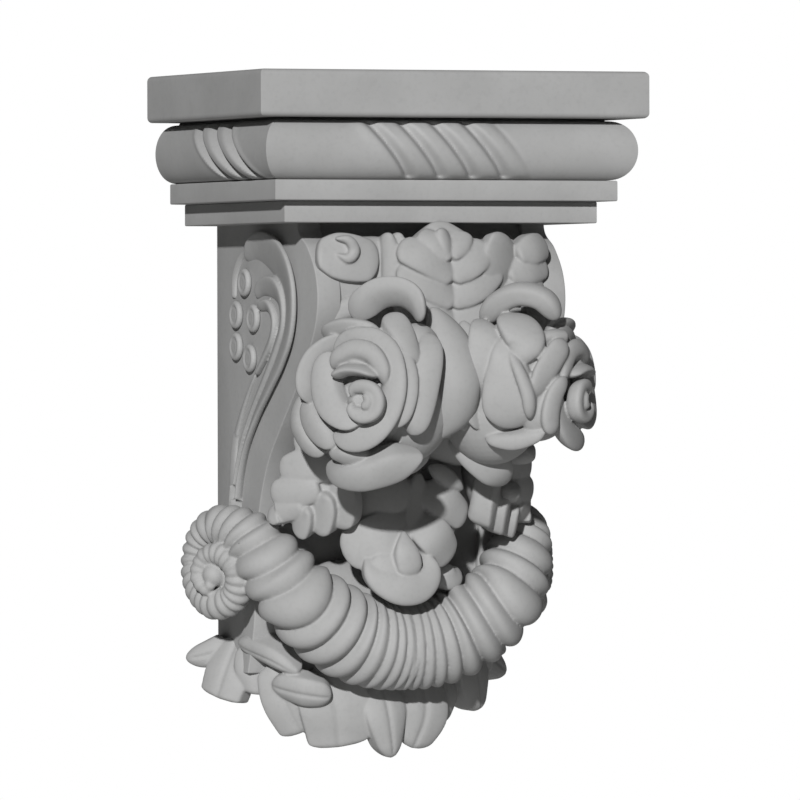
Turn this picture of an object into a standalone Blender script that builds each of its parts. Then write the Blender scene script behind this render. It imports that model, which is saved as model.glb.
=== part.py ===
"""Ornamental wall corbel: a moulded cap on a carved bracket with two roses,
leaves, a ribbed double horn and a skirt of leaves, cast in one piece.

+Z is up, the front faces -Y, and the origin lies on the wall face, at mid height.
"""
import math

import bmesh
import bpy
import numpy as np
from mathutils import Matrix

# Driving dimensions, in metres
height = 0.343
cap_width = 0.2072
cap_depth = 0.1586
slab_height = 0.0233
slab_round = 0.0028
torus_height = 0.0300
torus_bulge = 0.0125
torus_setback = 0.0043
fascia_height = 0.0111
fascia_setback = 0.0122
fillet_height = 0.0109
fillet_setback = 0.0201
body_width = 0.1328
body_depth = 0.1380
border_width = 0.0125
panel_sink = 0.0035
wall_tuck = 0.006
moulding_gap = 0.0012
arris = 0.0002
strand_pitch = 0.017
strand_depth = 0.0035
grain = 0.0016
carving_triangles = 7900

# The carving is drawn on a block of this size, in millimetres
drawing = {"width": 132.8, "depth": 138.0, "height": 343.0}

across = body_width / drawing["width"]
outward = body_depth / drawing["depth"]
downward = height / drawing["height"]
top = height / 2


# What the thinning takes off each form, in drawing millimetres
flesh = 0.4

# How evenly a blade's rings are spread, and how wide its crease is as a share of its half width
evenness = 0.7
crease_share = 0.12


def unit(vectors):
    return vectors / np.maximum(np.linalg.norm(vectors, axis=-1, keepdims=True), 1e-9)


def follow(points, along):
    """A smooth curve through points, read at each share of its length."""
    points = np.array(points, float)
    if points.ndim == 1:
        points = points[:, None]
    spans = len(points) - 1
    first = 2 * points[0] - points[1]
    last = 2 * points[-1] - points[-2]
    points = np.vstack([first, points, last])
    place = np.clip(along, 0, 1) * spans
    index = np.minimum(place.astype(int), spans - 1)
    u = (place - index)[:, None]
    a, b, c, d = (points[index + step] for step in range(4))
    return 0.5 * (2 * b + (c - a) * u + (2 * a - 5 * b + 4 * c - d) * u * u
                  + (3 * b - a - 3 * c + d) * u ** 3)


def heading(points, along):
    """The direction in which the curve runs."""
    step = 1e-3
    ahead = follow(points, np.clip(along + step, 0, 1))
    behind = follow(points, np.clip(along - step, 0, 1))
    return unit(ahead - behind)


def set_points(mesh, places):
    """Drawing places (across, forward, drop) become metres on the block."""
    for vertex, (x, forward, drop) in zip(mesh.verts, places):
        vertex.co = (x * across, -forward * outward, top - drop * downward)
    bmesh.ops.recalc_face_normals(mesh, faces=mesh.faces)


def finish(mesh, name, collection):
    data = bpy.data.meshes.new(name)
    mesh.to_mesh(data)
    mesh.free()
    thing = bpy.data.objects.new(name, data)
    collection.objects.link(thing)
    return thing


def ball(sides, rings):
    """A sphere, read as shares along its axis, its turn round it, and its poles."""
    mesh = bmesh.new()
    bmesh.ops.create_uvsphere(mesh, u_segments=sides, v_segments=rings, radius=1)
    spots = np.array([vertex.co[:] for vertex in mesh.verts])
    pole = np.hypot(spots[:, 0], spots[:, 1]) < 1e-6
    turn = np.arctan2(spots[:, 1], spots[:, 0])
    even = np.arccos(np.clip(spots[:, 2], -1, 1)) / math.pi
    return mesh, spots, turn, pole, even


def looks_along(facing, along, run):
    """The way the face of a blade looks, square to its run."""
    look = np.array(facing, float)
    look = follow(look, along) if look.ndim == 2 else np.repeat(look[None], len(along), 0)
    return unit(look - (look * run).sum(1, keepdims=True) * run)


def blade(parts, spine, facing, half, thick, ends=(0.3, 0.3), back=None, bend=0.0, away=None,
          lift=0.0, crease=0.0, square=0.62, sides=16, rings=16):
    """A pillow along its spine. lift raises the rim that lies away from a centre."""
    mesh, spots, turn, pole, even = ball(sides, rings)
    along = (1 - evenness) * (1 - spots[:, 2]) / 2 + evenness * even
    side = np.where(pole, 0, np.cos(turn))
    face = np.where(pole, 0, np.sin(turn))
    middle = follow(spine, along)
    run = heading(spine, along)
    look = looks_along(facing, along, run)
    out = np.cross(run, look)
    start = 1 - (1 - np.clip(along / ends[0], 0, 1)) ** 2
    stop = 1 - (1 - np.clip((1 - along) / ends[1], 0, 1)) ** 2
    close = np.sqrt(np.clip(start * stop, 0, 1))
    width = (follow(half, along)[:, 0] + flesh) * close
    body = np.abs(face) ** square * close
    rise = np.where(face > 0, (thick + flesh) * body, -(thick if back is None else back) * body)
    rise = rise - np.where(face > 0, crease * np.exp(-(side / crease_share) ** 2) * body, 0)
    rise = rise - bend * side ** 2 * close
    if away is not None:
        outer = np.sign((out * (middle - np.array(away))).sum(1))
        rise = rise + lift * outer * side * close
    set_points(mesh, middle + out * (width * side)[:, None] + look * rise[:, None])
    parts.append(mesh)


def lump(parts, centre, radii, sides=16, rings=12):
    """A rounded core that fills the ground behind the carving."""
    mesh, spots, turn, pole, even = ball(sides, rings)
    set_points(mesh, np.array(centre) + spots * np.array(radii))
    parts.append(mesh)


def add_blades(parts, rows):
    for spine, facing, half, thick, ends, bend, back in rows:
        blade(parts, spine, facing, half, thick, ends=ends, bend=bend, back=back)


def add_lumps(parts, rows, sides=16):
    for centre, radii in rows:
        lump(parts, centre, radii, sides=sides)


def slice_of(parts, outline, left, right):
    """An outline in side view, carried across the block from left to right."""
    mesh = bmesh.new()
    bmesh.ops.create_circle(mesh, cap_ends=True, segments=len(outline), radius=1)
    set_points(mesh, [(left, forward, drop) for forward, drop in outline])
    far = bmesh.ops.extrude_face_region(mesh, geom=mesh.faces[:])["geom"]
    moved = [piece for piece in far if isinstance(piece, bmesh.types.BMVert)]
    bmesh.ops.translate(mesh, verts=moved, vec=((right - left) * across, 0, 0))
    bmesh.ops.recalc_face_normals(mesh, faces=mesh.faces)
    parts.append(mesh)


def mirrored(meshes):
    """The same pieces on the other side of the centre line."""
    for mesh in meshes:
        bmesh.ops.transform(mesh, matrix=Matrix.Scale(-1, 4, (1, 0, 0)), verts=mesh.verts)
        bmesh.ops.recalc_face_normals(mesh, faces=mesh.faces)
    return meshes


def both_sides(parts, build):
    """What build adds on the left is added on the right as its mirror image."""
    left, right = [], []
    build(left)
    build(right)
    parts.extend(left + mirrored(right))


# Body: the S-shaped bracket, in side view as (forward, drop)
front_curve = [(112, 60), (112, 78), (125, 87), (136, 100), (139, 115), (133, 131),
               (115, 152), (91, 174), (70, 195), (58, 219), (53, 245), (51, 275), (42, 300)]
front_steps = 30
foot_lump = ((0, 36, 290), (58, 44, 40))


def outline_from(curve, sink):
    """The side view, from the front edge round to the flat back."""
    front = follow(curve, np.linspace(0, 1, front_steps + 1)) - (sink, 0)
    top_drop, foot_drop = curve[0][1], curve[-1][1]
    behind = wall_tuck / outward
    return [*front, (-behind, foot_drop), (-behind, top_drop)]


def add_body(parts):
    half = drawing["width"] / 2
    border = border_width / across
    sink = panel_sink / outward
    slice_of(parts, outline_from(front_curve, sink), -half + 1, half - 1)
    for side in (-1, 1):
        near, far = side * (half - border), side * half
        slice_of(parts, outline_from(front_curve, 0), min(near, far), max(near, far))
    lump(parts, *foot_lump, sides=24)


# Side scrolls: ribbons in low relief on the side face, as
# (line of (forward, drop), half widths, rise, lift of the outer rim)
ribbons = [
    ([(42, 93), (58, 88), (77, 91), (93, 99), (102, 111), (101, 125), (91, 139), (77, 152), (60, 167),
      (45, 184), (36, 201), (32, 217), (30, 234)],
     [4, 8, 12, 14, 14, 13, 11, 9, 7, 5, 4, 3.4, 3], 4.0, 3.4),
    ([(57, 112), (68, 107), (84, 108), (93, 115), (94, 125), (86, 136), (73, 149), (58, 163), (44, 178),
      (34, 194), (28, 212), (27, 234)], [2.4, 4.6, 6.4, 6.6, 6, 5, 4.4, 3.8, 3.2, 2.8, 2.4, 2.2], 4.6, 2.2),
    ([(60, 117), (74, 116), (82, 123), (79, 132), (69, 141), (58, 150)], [2, 3.4, 4, 4, 3.4, 2], 4.4, 1.4),
    ([(58, 148), (45, 160), (35, 171), (27, 183), (24, 198), (23, 214), (23, 234)],
     [1, 1.8, 2.2, 2.2, 2.2, 2.2, 2], 2.6, 0.4),
    ([(48, 87), (35, 92), (27, 101), (26, 112)], [1.2, 2.2, 2.4, 1.8], 2.4, 0.6),
]
berries = [(43, 104), (31, 120), (55, 122), (31, 136), (50, 142)]
berry_radius = 6.4
berry_rise = 4.2
scroll_centre = (45, 150)


def add_side(parts):
    wall = -drawing["width"] / 2
    for run, half, rise, lift in ribbons:
        spine = [(wall, forward, drop) for forward, drop in run]
        blade(parts, spine, (-1, 0, 0), half, rise * 0.7, ends=(0.1, 0.05), back=2, lift=lift,
              away=(wall, *scroll_centre), square=0.5, sides=12, rings=40)
    for forward, drop in berries:
        lump(parts, (wall, forward, drop), (berry_rise, berry_radius, berry_radius))


# Roses: petals drawn round each rose's own axis as (right, up, out)
rose_centre = np.array([-58.0, 174.5, 156.0])
rose_turn = math.radians(45)
rose_tilt = math.radians(9)
rose_axis = np.array([-math.sin(rose_turn) * math.cos(rose_tilt),
                      math.cos(rose_turn) * math.cos(rose_tilt), -math.sin(rose_tilt)])
rose_right = np.array([math.cos(rose_turn), math.sin(rose_turn), 0.0])
rose_up = np.array([math.sin(rose_turn) * math.sin(rose_tilt),
                    -math.cos(rose_turn) * math.sin(rose_tilt), -math.cos(rose_tilt)])
rose_basis = np.array([rose_right, rose_up, rose_axis])

# name: (line, half widths, thickness, how far it faces the front, lift of the outer rim, back)
petals = {
    "bud": ([(-3, -6, 2), (-1, -2, 3), (4, -1, 3.5), (9, -3, 3), (11, -8, 2), (9, -13, 1), (3, -15, 1),
             (-2, -12, 2), (-2, -8, 3.5)], [1.8, 3, 3.4, 3.6, 3.8, 3.8, 3.8, 3.2, 2], 4.0, 2.2, 0.6, 6),
    "bud core": ([(4, -5, 4), (7, -7, 4), (6, -10, 3.5), (3, -10, 3.5)], [1.8, 2.4, 2.6, 2.0], 3.4, 3, 0.0, 6),
    "inner lip": ([(-15, 5, -1), (-8, 8, 1), (0, 8, 1), (9, 5, -1)], [3, 3.8, 3.8, 3], 3.6, 1.4, -2.0, 6),
    "arch": ([(-16, 9, -3), (-11, 15, 0), (-3, 18, 1), (5, 16, 0), (10, 9, -2), (11, 1, -5)],
             [2.2, 3.8, 4.4, 4.4, 4, 2.4], 4.2, 1.5, 0.8, 7),
    "ring left": ([(-18, 18, -5), (-21, 11, -5), (-21, 3, -5), (-18, -6, -4), (-13, -12, -3), (-6, -16, -3),
                   (1, -17, -4)], [2, 4.4, 6, 6.6, 6.2, 5, 2.4], 4.2, 1.1, 2.2, 8),
    "ring right": ([(-18, 17, -7), (-11, 23, -5), (-3, 24, -4), (5, 23, -4), (12, 17, -5), (15, 8, -6),
                    (15, -2, -7), (12, -12, -8), (6, -20, -8), (-1, -24, -8), (-9, -25, -8), (-17, -22, -9)],
                   [2, 2.8, 3.2, 4, 4.8, 5.4, 6, 6.2, 6.4, 6.2, 5.4, 3], 4.4, 1.0, 2.0, 9),
    "left rim": ([(-30, -6, -15), (-34, 1, -12), (-34, 8, -11), (-30, 16, -10), (-24, 21, -10), (-14, 26, -10)],
                 [3, 5, 5.6, 5.4, 4.6, 2.6], 4.6, 0.8, -1.8, 8),
    "top lip": ([(-27, 27, -13), (-16, 31, -10), (-7, 31, -9), (5, 28, -10)], [2.6, 5, 5, 3], 4.6, 0.9,
                -1.8, 9),
    "back petal": ([(-33, 29, -28), (-31, 38, -27), (-25, 44, -27), (-15, 48, -28)], [3, 6, 6, 3], 4, 0.6,
                   0.8, 9),
}
left_only = {
    "low left": ([(-34, -3, -16), (-31, -14, -14), (-24, -22, -13), (-16, -26, -14)], [3, 5.4, 5.4, 2.6],
                 3.8, 0.8, 1.8, 8),
    "far left": ([(-41, 0, -24), (-42, -13, -22), (-39, -20, -21), (-34, -26, -21), (-26, -30, -22)],
                 [2.6, 4, 4.4, 4.2, 2.6], 3.6, 0.5, 1.4, 8),
    "bottom small": ([(-22, -29, -18), (-11, -32, -16), (-1, -30, -18)], [2, 5, 2], 3.6, 0.5, 0.5, 8),
    "bottom lip": ([(-27, -33, -29), (-19, -40, -24), (-8, -42, -21), (2, -40, -21), (12, -36, -23),
                    (24, -30, -28)], [2, 4.6, 6.4, 7.2, 7.2, 3], 4.4, 0.7, 1.8, 9),
    "right band": ([(5, 28, -9), (13, 19, -10), (18, 9, -11), (19, -1, -12), (17, -11, -13), (12, -18, -15)],
                   [2.6, 4.6, 5.4, 5.4, 4.6, 2.4], 4.4, 0.7, 1.8, 9),
    "tall right": ([(23, 30, -23), (27, 18, -20), (26, 2, -19), (23, -12, -20), (19, -21, -22)],
                   [5, 6, 6.2, 5.6, 3.4], 4.6, 0.5, 1.8, 9),
    "crown": ([(-13, 36, -17), (-6, 44, -15), (3, 49, -15), (13, 49, -16), (20, 44, -17), (24, 35, -16)],
              [3, 5, 6, 6.4, 6.4, 4.6], 5.2, 0.2, -3.2, 6),
    "tongue": ([(6, 38, -17), (12, 32, -13), (18, 23, -12), (22, 12, -15)], [5, 7, 5.8, 2.6], 3.8, 0.7, 0.6, 9),
}
right_only = {
    "flank rim": ([(24, 39, -37), (30, 29, -33), (33, 16, -36), (32, 6, -42), (29, -4, -46), (26, -15, -45)],
                  [7, 7.6, 6.8, 5.6, 4.4, 2.6], 5.0, 0.3, 2.4, 9),
    "flank face": ([(24, 40, -46), (28, 26, -44), (29, 12, -47), (27, -1, -51), (25, -14, -54)],
                   [4, 8, 9, 8, 4], 4, 0.1, 0.0, 8),
    "flank": ([(26, 28, -25), (30, 16, -23), (31, 4, -24), (30, -6, -25), (26, -17, -28)],
              [4, 8.6, 12.4, 13.6, 10], 5.0, 0.2, 1.6, 9),
    "flank ridge": ([(28, 22, -23), (32, 10, -17), (32, -3, -14), (29, -14, -16)], [1.6, 3, 3.4, 2.6], 4.6, 0.3,
                    0.4, 8),
    "flank lip": ([(24, -19, -43), (24, -23, -28), (22, -21, -12)], [2.4, 4, 2.6], 4, 0.4, 0.8, 8),
    "shoulder": ([(19, 38, -26), (24, 33, -18), (27, 24, -13), (28, 13, -15)], [6, 10, 9.6, 4], 4.4, 0.4, 1.2, 8),
    "curl": ([(19, 40, -40), (21, 46, -30), (21, 49, -18), (17, 45, -8), (11, 37, -4)],
             [3, 4.6, 5.8, 6, 4.4], 5.0, 0.2, -3.0, 6),
    "flank band": ([(13, 22, 2), (19, 14, -3), (24, 5, -9), (27, -5, -14)], [4.4, 5.4, 5.4, 3], 4.6, 0.8, 2.0, 9),
    "flank leaf": ([(14, 4, 0), (20, -4, -5), (23, -14, -8), (20, -23, -9)], [3, 4.6, 5, 4], 4.4, 0.6, 1.4, 9),
    "knob": ([(19, 24, -12), (14, 25, -4), (7, 24, 1)], [3, 3.6, 3.4], 3.6, 0.6, 0.0, 9),
}
# What fills the ground behind the petals, as (centre, radii)
rose_cores = [((-2, -4, -27), (18, 18, 20)), ((4, -8, -4), (6, 6, 6)), ((2, 0, -46), (26, 30, 32)),
              ((16, 22, -30), (12, 14, 14))]
rose_middle = (0, -3, -10)
spread_reach = 25.0


def rose_place(right, up, out):
    return rose_centre + np.array([right, up, out]) @ rose_basis


def add_petals(parts, table):
    for spine, half, thick, front, lift, back in table.values():
        places = [rose_place(*point) for point in spine]
        looks = [unit(np.array([right, up + 5, 0.0]) / spread_reach + np.array([0, 0, front])) @ rose_basis
                 for right, up, out in spine]
        blade(parts, places, looks, half, thick, ends=(0.2, 0.2), back=back, lift=lift,
              away=rose_place(*rose_middle), rings=24)


def add_roses(parts):
    left, right = [], []
    for rose in (left, right):
        add_petals(rose, petals)
        add_lumps(rose, [(rose_place(*centre), radii) for centre, radii in rose_cores])
    add_petals(left, left_only)
    add_petals(right, right_only)
    parts.extend(left + mirrored(right))


# Petals between and below the roses, as (line, facing, half widths, thickness, ends, bend, back)
middle_petals = [
    ([(-12, 154, 117), (-6, 166, 135), (-3, 171, 154), (-5, 166, 170), (-11, 154, 183)], (0.1, 1, 0),
     [8, 11, 11.5, 10.5, 4], 5.5, (0.3, 0.3), 2.5, 12),
    ([(-4, 128, 189), (-14, 134, 193), (-24, 134, 199)], (0, 0.8, 0.5), [3, 6, 3], 4.5, (0.3, 0.3), 0, 9),
    ([(6, 132, 183), (17, 138, 189), (28, 138, 197), (38, 130, 204)], (-0.1, 0.9, 0.3), [5, 9, 9.5, 6], 4.5,
     (0.3, 0.3), 0, 10),
    ([(48, 84, 186), (51, 106, 189), (52, 126, 190)], (0, 0, -1), [7, 7.5, 7], 6.5, (0.3, 0.3), 0, 6),
    ([(48, 70, 204), (50, 90, 208), (50, 112, 210)], (0, 0, -1), [7, 7, 6.5], 6, (0.3, 0.3), 0, 6),
]
middle_ground = [((0, 120, 126), (34, 22, 26)), ((2, 138, 150), (18, 20, 32)),
                 ((-22, 106, 156), (32, 30, 32)), ((22, 106, 156), (32, 30, 32)),
                 ((-26, 98, 178), (26, 28, 18)), ((26, 98, 178), (26, 28, 18))]


def add_middle_petals(parts):
    add_blades(parts, middle_petals)
    add_lumps(parts, middle_ground)


# Leaves: fans of lobes, each as (line from the midrib out, half width)
top_leaf = [
    ([(3, 149, 126), (-13, 150, 117), (-27, 145, 109)], 9),
    ([(3, 149, 115), (-12, 150, 105), (-26, 145, 97)], 9),
    ([(2, 149, 103), (-13, 150, 93), (-26, 145, 87)], 8.4),
    ([(1, 149, 93), (-7, 148, 86), (-15, 144, 81)], 6),
    ([(-2, 149, 127), (14, 149, 119), (28, 144, 110)], 9),
    ([(-1, 149, 115), (14, 149, 106), (27, 144, 96)], 8.6),
    ([(0, 149, 103), (12, 149, 94), (21, 144, 85)], 8), ([(0, 149, 93), (6, 147, 86), (10, 143, 80)], 5.4),
    ([(-1, 149, 93), (-2, 148, 86), (-3, 145, 78)], 4),
]
right_top_leaf = [
    ([(28, 144, 107), (27, 145, 94), (31, 141, 80)], 7.5),
    ([(36, 144, 98), (38, 143, 89), (42, 140, 80)], 4.6),
    ([(29, 144, 108), (41, 144, 106), (53, 138, 104)], 5.2),
    ([(34, 144, 100), (45, 143, 97), (56, 136, 96)], 6.4),
    ([(41, 143, 91), (49, 141, 87), (55, 136, 86)], 6),
]
low_leaf = [
    ([(-43, 109, 186), (-53, 102, 184), (-61, 94, 187)], 9.4),
    ([(-45, 107, 198), (-57, 100, 196), (-67, 89, 200)], 9),
    ([(-51, 103, 209), (-61, 95, 208), (-70, 84, 211)], 8),
    ([(-57, 97, 218), (-65, 88, 218), (-70, 80, 222)], 5.6),
    ([(-43, 108, 198), (-41, 106, 214), (-40, 101, 227)], 8.6),
    ([(-49, 105, 209), (-49, 101, 219), (-49, 95, 230)], 7.4),
    ([(-56, 98, 216), (-57, 93, 224), (-57, 88, 231)], 6),
]
drooping = [
    ([(3, 96, 207), (-18, 100, 211), (-35, 93, 215)], 10),
    ([(0, 98, 222), (-19, 104, 231), (-36, 95, 240)], 12),
    ([(-5, 102, 238), (-17, 107, 247), (-25, 102, 255)], 8.5),
    ([(3, 96, 207), (15, 102, 213), (30, 95, 223)], 9),
    ([(-1, 98, 222), (9, 106, 231), (20, 99, 243)], 10),
]
pillow = ([(-66, 137, 90), (-52, 139, 92), (-34, 140, 95)], 12)
pillow_bars = [([(-30, 139, 80), (-28, 141, 93), (-29, 141, 106)], 4.4),
               ([(-25, 139, 80), (-22, 141, 93), (-23, 141, 106)], 4.4)]


# Leaves and their lobes, as (lobes, facing, thickness, the leaf's tip, back, ends)
top_fans = [(top_leaf, (0, 1, -0.1), 2.8, (-3, 144, 60), 9, (0.1, 0.16)),
            (right_top_leaf, (0.25, 1, 0), 2.6, (52, 140, 74), 9, (0.1, 0.16)),
            ([pillow], (-0.2, 1, -0.1), 2.4, (-50, 140, 60), 9, (0.1, 0.16)),
            (pillow_bars, (-0.1, 1, 0), 3, (-60, 140, 90), 9, (0.1, 0.16))]
low_fan = (low_leaf, (-0.7, 0.7, -0.1), 2.4, (-76, 70, 226), 12, (0.12, 0.18))
drooping_fan = (drooping, (0, 1, 0), 3, (-9, 84, 190), 12, (0.12, 0.14))
lobe_shares = (0.55, 0.95, 1.0, 0.8)
lobe_bend = 1.0
lobe_lift = 1.6
lobe_square = 0.36

# The ground under the leaves, as (line, facing, half widths, thickness, ends, bend, back)
top_ground = [
    ([(-40, 131, 82), (-38, 131, 98), (-36, 131, 120)], (0, 1, 0), [18, 26, 26], 7, (0.3, 0.3), 0, 14),
    ([(36, 131, 82), (34, 131, 98), (32, 131, 120)], (0, 1, 0), [14, 24, 26], 7, (0.3, 0.3), 0, 14),
    ([(-2, 140, 74), (-1, 142, 96), (0, 142, 130)], (0, 1, 0), [10, 24, 30], 5, (0.3, 0.3), 0, 14),
]
low_ground = [
    ([(-44, 98, 184), (-52, 92, 203), (-62, 82, 222)], (-0.7, 0.7, 0), [12, 16, 10], 5, (0.3, 0.3), 0, 20),
]
# Ledge, curled tip, teardrop in the curl, midrib and ground of the drooping leaf
drooping_forms = [
    ([(-56, 50, 262), (-22, 60, 262), (22, 60, 262), (56, 50, 262)], (0, 0.85, -0.5), [14, 20, 20, 14], 12,
     (0.3, 0.3), 0, 22),
    ([(-26, 100, 243), (-23, 105, 254), (-12, 109, 261), (0, 109, 259), (7, 107, 250), (5, 103, 240)],
     (0, 1, 0.2), [5, 7.5, 8.5, 8.5, 7, 3.6], 5, (0.3, 0.3), 0, 12),
    ([(-8, 106, 228), (-8, 111, 239), (-5, 110, 251)], (0, 1, 0), [2.4, 6.4, 6.4], 3.4, (0.6, 0.24), 0, 12),
    ([(4, 98, 199), (1, 100, 216), (-4, 103, 233)], (0, 1, 0), [4, 5, 4], 2.2, (0.3, 0.3), 0, 12),
    ([(1, 84, 196), (0, 88, 212), (-4, 94, 232), (-8, 96, 250)], (0, 1, 0), [26, 30, 25, 14], 5,
     (0.3, 0.3), 0, 22),
]
curl_lumps = [((-8, 99, 247), (16, 10, 15))]


def add_lobes(parts, fan):
    """A pillow for each lobe; its rim away from the leaf's tip stands proud of the next."""
    runs, facing, thick, tip, back, ends = fan
    for run, wide in runs:
        half = [wide * share for share in lobe_shares]
        blade(parts, run, facing, half, thick, ends=ends, bend=lobe_bend, back=back, away=tip,
              lift=lobe_lift, square=lobe_square)


def add_top_leaves(parts):
    for fan in top_fans:
        add_lobes(parts, fan)
    add_blades(parts, top_ground)


def add_low_leaf(parts):
    add_lobes(parts, low_fan)
    add_blades(parts, low_ground)


def add_drooping_leaf(parts):
    add_lobes(parts, drooping_fan)
    add_blades(parts, drooping_forms)
    add_lumps(parts, curl_lumps)


# Horn: one tube from the middle to the eye of its spiral
horn_path = [(2, 83, 286), (-13, 84, 285), (-27, 84, 281), (-41, 85, 273), (-54, 85, 263), (-62, 79, 252),
             (-68, 73, 242), (-73, 65, 233), (-77, 55, 228), (-81, 40, 226), (-84, 28, 233), (-86, 25, 246),
             (-87, 33, 258), (-85, 48, 265), (-80, 61, 260), (-81, 66, 248), (-86, 58, 240),
             (-91, 49, 241), (-94, 45, 250), (-92, 49, 257), (-90, 54, 254)]
horn_radius = [22.5, 22.8, 23, 22.5, 21, 19.5, 17.5, 15, 12.5, 10.5, 9.8, 9.3, 8.8, 8.2, 7.6, 7, 6.2,
               5.2, 4.4, 3.6, 2.6]
# (how far along the horn in mm, how many rings have passed)
rings_passed = [(-17.5, -3), (0, 0.5), (17.5, 4), (27, 5.2), (39, 6.3), (99, 11.2), (137, 17), (200, 29),
                (232, 37), (330, 62)]
over_the_middle = 2.0
ring_tilt = 0.34
ring_depth = 0.24
coil_lumps = [((-80, 48, 248), (7, 14, 14)), ((-88, 52, 250), (6, 6, 6))]
tilt_full_from = 60.0
tilt_gone_at = 150.0
tilt_fade = 40.0


def add_horn(parts):
    """A round section swept along its path, pinched between its rings."""
    mesh, spots, turn, pole, along = ball(24, 210)
    middle = follow(horn_path, along)
    run = heading(horn_path, along)
    look = looks_along((0, 1, 0), along, run)
    out = np.cross(run, look)
    fine = np.linspace(0, 1, 2001)
    steps = np.linalg.norm(np.diff(follow(horn_path, fine), axis=0), axis=1)
    length = np.interp(along, fine, np.concatenate([[0], np.cumsum(steps)])) - over_the_middle
    size = follow(horn_radius, along)[:, 0] + flesh
    arm = np.clip(length / tilt_full_from, 0, 1) * np.clip((tilt_gone_at - length) / tilt_fade, 0.1, 1)
    front = np.where(pole, 0, np.sin(turn))
    passed = np.interp(length + ring_tilt * arm * size * front, *zip(*rings_passed))
    size = size * (1 - ring_depth + ring_depth * np.abs(np.sin(math.pi * passed)) ** 0.62)
    size = np.where(pole, 0, size)[:, None]
    set_points(mesh, middle + out * size * np.cos(turn)[:, None] + look * size * np.sin(turn)[:, None])
    parts.append(mesh)
    add_lumps(parts, coil_lumps)


# Skirt: folded leaves below the horn, as (line, facing, half widths, thickness, share of the blunt tip)
skirt_leaves = [
    ([(-66, 16, 288), (-76, 12, 291), (-86, 6, 293)], (-0.6, 0.8, 0.1), [9, 7, 4], 3.4, 0.3),
    ([(-62, 22, 282), (-70, 24, 298), (-74, 21, 313)], (-0.9, 0.6, 0.1), [11, 13, 12], 3.2, 0.08),
    ([(-60, 36, 284), (-60, 38, 297), (-58, 36, 311)], (-0.7, 0.9, 0.2), [10, 12, 7], 3.2, 0.12),
    ([(-68, 34, 284), (-60, 56, 291), (-49, 68, 299)], (-0.5, 0.8, 0.6), [4.6, 5.6, 3], 3.6, 0.3),
    ([(-54, 50, 294), (-52, 55, 312), (-42, 53, 330)], (-0.6, 0.9, -0.1), [11, 12, 10], 3.2, 0.1),
    ([(-34, 60, 296), (-29, 66, 316), (-25, 62, 337)], (-0.3, 1, -0.2), [16, 18, 15], 3.2, 0.08),
    ([(-58, 54, 305), (-47, 68, 309), (-33, 72, 311)], (-0.3, 0.9, 0.5), [6, 8, 6], 3.2, 0.2),
    ([(-5, 62, 302), (-3, 70, 320), (1, 67, 343)], (0.1, 1, -0.1), [11, 11.5, 5], 3.6, 0.16),
    ([(-13, 58, 304), (-12, 63, 319), (-11, 60, 333)], (-0.5, 1, -0.1), [8, 9, 5], 3.2, 0.2),
    ([(18, 60, 302), (19, 66, 320), (14, 62, 338)], (0.1, 1, -0.1), [12, 14, 8], 3.4, 0.14),
    ([(30, 54, 300), (32, 58, 313), (32, 54, 326)], (0.4, 1, -0.1), [10, 11, 6], 3.4, 0.14),
    ([(50, 46, 286), (54, 48, 304), (57, 44, 320)], (0.6, 0.9, -0.1), [13, 13, 7], 3.4, 0.14),
    ([(62, 38, 284), (68, 36, 295), (77, 32, 302)], (0.8, 0.7, 0.1), [9, 9, 4], 3.4, 0.2),
    ([(62, 40, 280), (69, 38, 287), (76, 34, 291)], (0.8, 0.7, 0.3), [7, 6, 3], 3.4, 0.3),
    ([(62, 20, 280), (72, 18, 288), (82, 12, 291)], (0.8, 0.6, 0.1), [9, 8, 4], 3.4, 0.3),
]
skirt_root = 0.2
skirt_crease = 1.0
skirt_back = 10
skirt_square = 0.26
skirt_bend = 2
skirt_ground = [((-2, 34, 298), (50, 30, 26)), ((0, 36, 284), (60, 40, 26))]


def add_skirt(parts):
    for spine, facing, half, thick, tip in skirt_leaves:
        blade(parts, spine, facing, half, thick, ends=(skirt_root, tip), crease=skirt_crease,
              back=skirt_back, square=skirt_square, bend=skirt_bend)
    add_lumps(parts, skirt_ground, sides=20)


def cap_profile():
    """The cap's mouldings from the top down, as (setback from the slab's edge, drop)."""
    stations = [(slab_round, 0.0)]
    for step in range(1, 4):
        angle = math.pi / 2 * step / 3
        stations.append((slab_round * (1 - math.sin(angle)), slab_round * (1 - math.cos(angle))))
    for step in range(4):
        angle = math.pi / 2 * step / 3
        stations.append((slab_round * (1 - math.cos(angle)),
                         slab_height - slab_round * (1 - math.sin(angle))))
    torus_top = slab_height + moulding_gap
    steps = 12
    deepest = torus_setback + torus_bulge
    for step in range(steps + 1):
        angle = math.pi * step / steps
        drop = torus_top + torus_height * (1 - math.cos(angle)) / 2
        stations.append((deepest - torus_bulge * math.sin(angle) ** 0.8, drop))
    fascia_top = torus_top + torus_height
    fillet_top = fascia_top + fascia_height
    fillet_foot = fillet_top + fillet_height
    stations.append((fascia_setback, fascia_top + arris))
    stations.append((fascia_setback, fillet_top))
    stations.append((fillet_setback, fillet_top + arris))
    stations.append((fillet_setback, fillet_foot))
    return stations


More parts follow.
